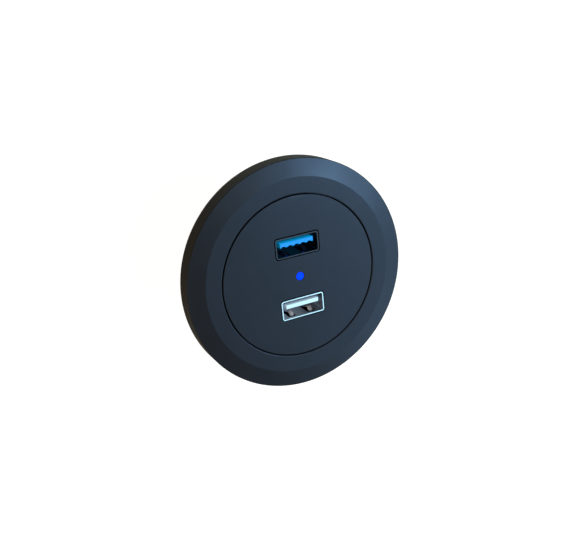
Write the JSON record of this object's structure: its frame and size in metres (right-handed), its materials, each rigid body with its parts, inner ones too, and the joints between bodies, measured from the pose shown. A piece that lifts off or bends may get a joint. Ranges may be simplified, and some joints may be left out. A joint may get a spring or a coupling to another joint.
{
  "type": "in-desk usb charger",
  "caption": "Round flush-mounted desk charger: wide chamfered flange, inset faceplate with upright USB-A sockets and a status lamp, threaded barrel with clamp nut and low-voltage inlet.",
  "frame": {"origin": "on the axis, in the plane of the desk top, which is the underside of the flange", "axes": "+Z out of the face, +Y towards the upper socket, +X to the right when reading the face"},
  "size_m": [0.066, 0.066, 0.0373],
  "materials": {
    "housing_plastic": "fine matte",
    "faceplate_plastic": "fine matte",
    "gasket_foam": "closed-cell foam",
    "washer_steel": "zinc plated",
    "nut_plastic": "moulded",
    "dark_nickel": "black nickel",
    "bright_nickel": "nickel plated",
    "blue_moulding": "satin",
    "pale_moulding": "satin",
    "contact_metal": "plated",
    "lamp_blue": "clear moulded",
    "board_laminate": "solder mask",
    "post_brass": "turned",
    "screw_steel": "zinc plated",
    "cover_plastic": "moulded",
    "inlet_plastic": "moulded",
    "inlet_metal": "nickel plated",
    "ferrite": "pressed",
    "capacitor_can": "sleeveless can",
    "chip_black": "moulded",
    "ceramic": "fired"
  },
  "bodies": {
    "housing": {"bezel_housing": "housing_plastic", "board_header": "inlet_plastic", "board_screws": "screw_steel", "capacitors": "capacitor_can", "chip_resistors": "ceramic", "converter_chip": "chip_black", "cover_screws": "screw_steel", "faceplate": "faceplate_plastic", "faceplate_screws": "screw_steel", "inductor": "ferrite", "inlet_body": "inlet_plastic", "inlet_leaf": "contact_metal", "inlet_pin": "inlet_metal", "input_fuse": "ceramic", "light_pipe": "lamp_blue", "lower_contacts": "contact_metal", "lower_insulator": "pale_moulding", "lower_shell": "bright_nickel", "port_controllers": "chip_black", "power_board": "board_laminate", "rear_cover": "cover_plastic", "rectifier_diode": "chip_black", "seat_gasket": "gasket_foam", "socket_board": "board_laminate", "standoffs": "post_brass", "status_led": "lamp_blue", "upper_contacts": "contact_metal", "upper_insulator": "blue_moulding", "upper_shell": "dark_nickel"},
    "washer": {"clamp_washer": "washer_steel"},
    "nut": {"clamp_nut": "nut_plastic"}
  },
  "joints": [
    {"name": "washer_slide", "type": "slide", "parent": "housing", "child": "washer", "axis": [0, 0, -1], "range_m": [0, 0.014]},
    {"name": "nut_turn", "type": "hinge", "parent": "washer", "child": "nut", "pos_m": [0, 0, -0.011], "axis": [0, 0, -1], "range_deg": [0, 1680]}
  ],
  "couplings": [
    {"joint": "nut_turn", "follows": "washer_slide", "rad_per_m": 2094.4}
  ]
}
